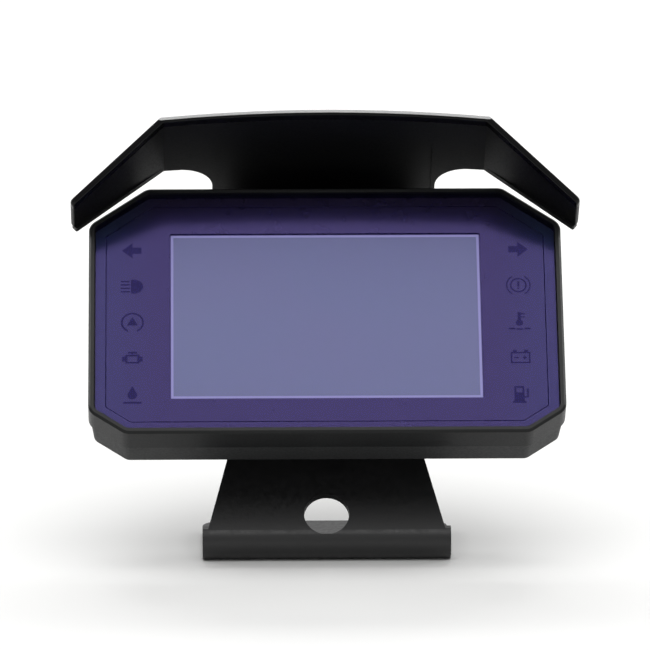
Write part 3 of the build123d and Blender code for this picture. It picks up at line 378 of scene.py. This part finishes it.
picture_tone = add_node(polariser, "ShaderNodeMix", {"Factor": in_band.outputs["Result"],
                                                     "A": cell_tone.outputs["Result"], "B": linear("A8AAC8")},
                        data_type="RGBA")
film_tone = add_node(polariser, "ShaderNodeMix", {"Factor": past_band.outputs["Result"],
                                                  "A": picture_tone.outputs["Result"], "B": linear("17171C")},
                     data_type="RGBA")
film_flat = add_node(polariser, "ShaderNodeNewGeometry").outputs["True Normal"]
film_shader = add_node(polariser, "ShaderNodeBsdfPrincipled", {
    "Base Color": film_tone.outputs["Result"], "Roughness": 0.2, "Normal": film_flat, **coat_mirror})
add_node(polariser, "ShaderNodeOutputMaterial", {"Surface": film_shader.outputs["BSDF"]})
finish_node("display_polariser", polariser)

# Behind the film are the panel's glass, the pressed steel pan of the backlight and its acrylic light guide,
# whose back is printed with dots that throw the light forward.
finish_node("display_panel", grained_plastic("grey_green_panel_glass", "1E2422", "262C2A", grain=3.0,
                                             depth=0.002, dull=0.14, shine=0.5, ior=1.52))


metal_dull_swing, mark_depth, mark_strength = 0.1, 0.02 * millimetre, 0.4


def worked_metal(name, dark, light, lay, dull):
    """Bare or plated metal. lay is how far its marks run along the glass's three axes, in millimetres."""
    material = new_material(name)
    spread = add_node(material, "ShaderNodeMapping", {
        "Vector": glass_axes(material), "Scale": [1 / (run * millimetre) for run in lay]})
    marks = add_node(material, "ShaderNodeTexNoise", {"Vector": spread.outputs["Vector"], "Scale": 1.0,
                                                      "Detail": 3.0})
    tone = add_node(material, "ShaderNodeMix", {"Factor": marks.outputs["Fac"], "A": linear(dark),
                                                "B": linear(light)}, data_type="RGBA")
    matt = add_node(material, "ShaderNodeMapRange", {"Value": marks.outputs["Fac"], "From Min": 0.3,
                                                     "From Max": 0.7, "To Min": dull - metal_dull_swing,
                                                     "To Max": dull + metal_dull_swing})
    bump = add_node(material, "ShaderNodeBump", {"Height": marks.outputs["Fac"], "Strength": mark_strength,
                                                 "Distance": mark_depth})
    shader = add_node(material, "ShaderNodeBsdfPrincipled", {
        "Base Color": tone.outputs["Result"], "Metallic": 1.0, "Roughness": matt.outputs["Result"],
        "Normal": bump.outputs["Normal"]})
    add_node(material, "ShaderNodeOutputMaterial", {"Surface": shader.outputs["BSDF"]})
    return material


finish_node("backlight_pan", worked_metal("pressed_bright_steel", "A9ABAD", "C4C5C6", lay=(20, 0.5, 0.5),
                                          dull=0.3))

guide_acrylic = new_material("dotted_clear_acrylic")
guide_dots = add_node(guide_acrylic, "ShaderNodeTexVoronoi", {"Vector": glass_axes(guide_acrylic),
                                                              "Scale": 1 / (1.6 * millimetre),
                                                              "Randomness": 0.0})
on_dot = add_node(guide_acrylic, "ShaderNodeMapRange", {"Value": guide_dots.outputs["Distance"],
                                                        "From Min": 0.28, "From Max": 0.34})
guide_tone = add_node(guide_acrylic, "ShaderNodeMix", {"Factor": on_dot.outputs["Result"],
                                                       "A": linear("F6F7F8"), "B": linear("D5DADC")},
                      data_type="RGBA")
guide_shader = add_node(guide_acrylic, "ShaderNodeBsdfPrincipled", {
    "Base Color": guide_tone.outputs["Result"], "Roughness": 0.12, "IOR": 1.49})
add_node(guide_acrylic, "ShaderNodeOutputMaterial", {"Surface": guide_shader.outputs["BSDF"]})
finish_node("light_guide", guide_acrylic)

# ======== Carrier ========================================================================================
# The carrier is moulded in white PBT, the whitest and cheapest mirror there is: each warning light shines
# down its own white tunnel.
finish_node("display_carrier", grained_plastic("white_pbt", "D2D3D1", "DEDEDC", grain=0.5, depth=0.008,
                                               dull=0.45, shine=0.5))

# ======== Circuit board ==================================================================================
# The board is glass-fibre laminate under green solder mask. Copper tracks stand up under the mask as paler
# lines. Its packages are black moulded epoxy, its coils pressed ferrite, its capacitors aluminium cans.
board_mask = new_material("green_solder_mask")
board_place = glass_axes(board_mask)
tracks = add_node(board_mask, "ShaderNodeTexBrick", {
    "Vector": board_place, "Scale": 1.0, "Mortar Size": 0.18 * millimetre, "Brick Width": 6.4 * millimetre,
    "Row Height": 1.1 * millimetre, "Color1": linear("0E4A2A"), "Color2": linear("0F4527"),
    "Mortar": linear("1F6B3F")})
track_relief = add_node(board_mask, "ShaderNodeBump", {"Height": tracks.outputs["Fac"], "Strength": 0.5,
                                                       "Distance": 0.04 * millimetre})
board_shader = add_node(board_mask, "ShaderNodeBsdfPrincipled", {
    "Base Color": tracks.outputs["Color"], "Roughness": 0.28, "IOR": 1.52,
    "Normal": track_relief.outputs["Normal"]})
add_node(board_mask, "ShaderNodeOutputMaterial", {"Surface": board_shader.outputs["BSDF"]})
finish_node("main_board", board_mask)

package_epoxy = grained_plastic("black_moulded_epoxy", "171717", "1E1E1E", grain=0.4, depth=0.01, dull=0.55,
                                shine=0.4, ior=1.55)
for package in ("processor", "memory_chips", "bus_drivers"):
    finish_node(package, package_epoxy)
finish_node("power_coils", grained_plastic("pressed_ferrite", "2B2C2E", "3C3D3F", grain=0.5, depth=0.03,
                                           dull=0.6, shine=0.5))
finish_node("capacitors", worked_metal("drawn_aluminium_can", "C9CACC", "D9DADB", lay=(0.4, 0.4, 12),
                                       dull=0.32))
finish_node("display_socket", grained_plastic("ivory_lcp", "CFC6AC", "D8D0B8", grain=0.5, depth=0.006,
                                              dull=0.42, shine=0.5))

# Each light is a white package, and its top, which faces the glass, is filled with yellow phosphor.
led_package = new_material("white_package_with_phosphor")
led_normal = add_node(led_package, "ShaderNodeNewGeometry")
facing_out = add_node(led_package, "ShaderNodeVectorMath", {0: led_normal.outputs["Normal"],
                                                            1: out_of_glass}, operation="DOT_PRODUCT")
led_top = add_node(led_package, "ShaderNodeMapRange", {"Value": facing_out.outputs["Value"],
                                                       "From Min": 0.8, "From Max": 0.9})
led_grain = add_node(led_package, "ShaderNodeTexNoise", {"Vector": glass_axes(led_package),
                                                         "Scale": 1 / (0.4 * millimetre)})
phosphor = add_node(led_package, "ShaderNodeMix", {"Factor": led_grain.outputs["Fac"],
                                                   "A": linear("E2C53C"), "B": linear("EFD759")},
                    data_type="RGBA")
led_tone = add_node(led_package, "ShaderNodeMix", {"Factor": led_top.outputs["Result"],
                                                   "A": linear("E9E8E3"), "B": phosphor.outputs["Result"]},
                    data_type="RGBA")
led_shader = add_node(led_package, "ShaderNodeBsdfPrincipled", {"Base Color": led_tone.outputs["Result"],
                                                                "Roughness": 0.35, "IOR": 1.5})
add_node(led_package, "ShaderNodeOutputMaterial", {"Surface": led_shader.outputs["BSDF"]})
finish_node("backlight_leds", led_package)
finish_node("telltale_leds", led_package)

# The display's flex is amber polyimide film with copper tracks inside, drawn wider apart than they are so
# that they show.
track_pitch = 0.9 * millimetre
flex_film = new_material("amber_polyimide_film")
flex_place = add_node(flex_film, "ShaderNodeSeparateXYZ", {"Vector": glass_axes(flex_film)})
flex_step = add_node(flex_film, "ShaderNodeMath", {0: flex_place.outputs["X"], 1: track_pitch},
                     operation="PINGPONG")
on_track = add_node(flex_film, "ShaderNodeMath", {0: flex_step.outputs["Value"], 1: track_pitch / 2},
                    operation="LESS_THAN")
flex_tone = add_node(flex_film, "ShaderNodeMix", {"Factor": on_track.outputs["Value"], "A": linear("C47A1E"),
                                                  "B": linear("8E4A14")}, data_type="RGBA")
flex_shader = add_node(flex_film, "ShaderNodeBsdfPrincipled", {"Base Color": flex_tone.outputs["Result"],
                                                               "Roughness": 0.3, "IOR": 1.7})
add_node(flex_film, "ShaderNodeOutputMaterial", {"Surface": flex_shader.outputs["BSDF"]})
finish_node("display_flex", flex_film)

# ======== Rear cover, vent and connector =================================================================
# The cover is moulded in glass-filled nylon, duller and coarser than the bezel: the fibres cloud its
# surface. The vent is a snap-in plug and the connector's shroud a smoother part of the same nylon.
finish_node("rear_cover", grained_plastic("glass_filled_black_nylon", "101112", "18191A", grain=0.9,
                                          depth=0.05, dull=0.58, shine=0.4))
finish_node("vent_plug", grained_plastic("dark_grey_nylon", "1C1D1E", "212223", grain=0.6, depth=0.02,
                                         dull=0.5, shine=0.4))
finish_node("header_shroud", grained_plastic("smooth_black_nylon", "0D0D0E", "111112", grain=0.6, depth=0.01,
                                             dull=0.38, shine=0.5))
finish_node("header_pins", worked_metal("tin_plated_bronze", "B9B6AC", "CBC9C0", lay=(0.6, 0.6, 6), dull=0.3))

# Both seals are soft silicone, coloured brick red so that a missing one shows at assembly.
seal_silicone = grained_plastic("red_silicone", "8A3A22", "96442A", grain=0.8, depth=0.01, dull=0.5,
                                shine=0.35, ior=1.41)
finish_node("header_seal", seal_silicone)
finish_node("housing_seal", seal_silicone)

# ======== Screws, washers and inserts ====================================================================
# Outside screws are plated in black zinc, a dull and slightly oily grey-black. Washers and the board's
# screws keep the bluish silver of clear-passivated zinc. The threaded inserts are turned brass.
black_zinc = worked_metal("black_zinc_plate", "232325", "303032", lay=(1.2, 1.2, 1.2), dull=0.42)
clear_zinc = worked_metal("clear_zinc_plate", "A3A9AE", "BBBDBB", lay=(2.0, 2.0, 2.0), dull=0.34)
turned_brass = worked_metal("turned_brass", "B58B45", "C9A35C", lay=(4.0, 4.0, 0.25), dull=0.3)
for black_screws in ("cover_screws", "mount_screws", "visor_screws"):
    finish_node(black_screws, black_zinc)
for plated in ("board_screws", "mount_washers", "visor_washers"):
    finish_node(plated, clear_zinc)
for insert in ("mount_inserts", "visor_inserts"):
    finish_node(insert, turned_brass)

# ======== Rubber mounts ==================================================================================
# Each mount is a rubber ring moulded with a flange on each side of the bracket's plate, and a cut steel tube
# inside it. One flange squeezes while the other relaxes, so each side of the plate is a piece of its own.
mount_rubber = grained_plastic("moulded_black_rubber", "0C0C0C", "151515", grain=1.4, depth=0.03, dull=0.72,
                               shine=0.25, ior=1.52)
rubber_levels = [vertex.co.dot(out_of_glass) for vertex in nodes["mount_grommets"].data.vertices]
rubber_front, rubber_back = max(rubber_levels), min(rubber_levels)
plate_middle = (rubber_front + rubber_back) / 2
plate_half_thick, soft_corner = 1.5 * millimetre, radians(30.0)
mount_strips = ((-0.1, -0.012), (-0.012, 0.012), (0.012, 0.1))     # one mount in each stretch of x, in metres
for flanges, away, far_face in (("front_rubbers", 1, rubber_front), ("rear_rubbers", -1, rubber_back)):
    rubber = bmesh.new()
    rubber.from_mesh(nodes["mount_grommets"].data)
    bmesh.ops.remove_doubles(rubber, verts=rubber.verts, dist=same_point)
    cut = bmesh.ops.bisect_plane(rubber, geom=rubber.verts[:] + rubber.edges[:] + rubber.faces[:],
                                 dist=same_point / 10, plane_co=out_of_glass * plate_middle,
                                 plane_no=out_of_glass * away, clear_inner=True)["geom_cut"]
    cut_edges = [item for item in cut if isinstance(item, bmesh.types.BMEdge)]
    for low_x, high_x in mount_strips:
        bmesh.ops.bridge_loops(rubber, edges=[edge for edge in cut_edges
                                              if low_x < edge.verts[0].co.x < high_x])
    bmesh.ops.recalc_face_normals(rubber, faces=rubber.faces)
    for face in rubber.faces:
        face.smooth = True
    for edge in rubber.edges:
        edge.smooth = edge.calc_face_angle(0.0) < soft_corner
    rubber_rings = new_piece(flanges, rubber, mount_rubber)
    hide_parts("mount_grommets")
    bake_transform(rubber_rings)
finish_node("mount_sleeves", worked_metal("cut_steel_tube", "8F9092", "A5A6A8", lay=(0.3, 0.3, 10),
                                          dull=0.38))

# ======== Bracket ========================================================================================
# The bracket is pressed from 3 mm steel sheet, its gussets are welded on, and the whole is powder coated:
# the coat is thick and satin with the faint ripple that the melted powder leaves.
powder_coat = grained_plastic("satin_black_powder_coat", "0F0F10", "141415", grain=1.8, depth=0.02, dull=0.42,
                              shine=0.5)
finish_node("support_bracket", powder_coat)
finish_node("bracket_gussets", powder_coat)

# A bead of weld runs along both sides of each gusset, on the plate and on the foot. Its ripples are the
# edges of the pool where it froze.
bead_radius, ripple_pitch = 1.5 * millimetre, 1.6 * millimetre
blunt_end, run_in, run_in_growth = 0.55, 0.6, 0.2         # shares of the bead's radius, and so is the ripple
ripple = (1.0, 1.14, 1.2, 1.1)
gusset_thick, gusset_relief = 3.0 * millimetre, 11.0 * millimetre
gusset_low, gusset_high = (Vector(corner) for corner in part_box("bracket_gussets"))
gusset_reach = (gusset_high.z - gusset_low.z) / up_glass.z
bend_y = gusset_high.y - gusset_reach


def weld_bead(shape, start, heading, length):
    """One run of weld from a start along a heading."""
    turn = heading.to_track_quat("Z", "Y").to_matrix().to_4x4()
    ring = bmesh.ops.create_circle(shape, cap_ends=True, segments=10, radius=bead_radius * blunt_end,
                                   matrix=Matrix.Translation(start) @ turn)["verts"]
    rim = ring[0].link_faces[0].edges[:]
    steps = len(ripple) * round(length / ripple_pitch)
    last = blunt_end
    for step in range(1, steps + 1):
        grown = bmesh.ops.extrude_edge_only(shape, edges=rim)["geom"]
        ring = [item for item in grown if isinstance(item, bmesh.types.BMVert)]
        rim = [item for item in grown if isinstance(item, bmesh.types.BMEdge) and item.is_boundary]
        bmesh.ops.translate(shape, verts=ring, vec=heading * (length / steps))
        size = ripple[step % len(ripple)] * min(1.0, run_in + run_in_growth * min(step, steps - step))
        centre = start + heading * (length * step / steps)
        bmesh.ops.scale(shape, verts=ring, vec=(size / last,) * 3, space=Matrix.Translation(-centre))
        last = size
    bmesh.ops.holes_fill(shape, edges=rim)


welds = bmesh.new()
for side_x in (gusset_low.x, gusset_low.x + gusset_thick, gusset_high.x - gusset_thick, gusset_high.x):
    corner = Vector((side_x, bend_y, gusset_low.z))
    for heading in (Vector((0, 1, 0)), up_glass):
        weld_bead(welds, corner + heading * (gusset_relief + bead_radius), heading,
                  gusset_reach - gusset_relief - 2 * bead_radius)
bmesh.ops.recalc_face_normals(welds, faces=welds.faces)
for face in welds.faces:
    face.smooth = True
gusset_welds = new_piece("gusset_welds", welds, powder_coat)
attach(gusset_welds, "bracket")
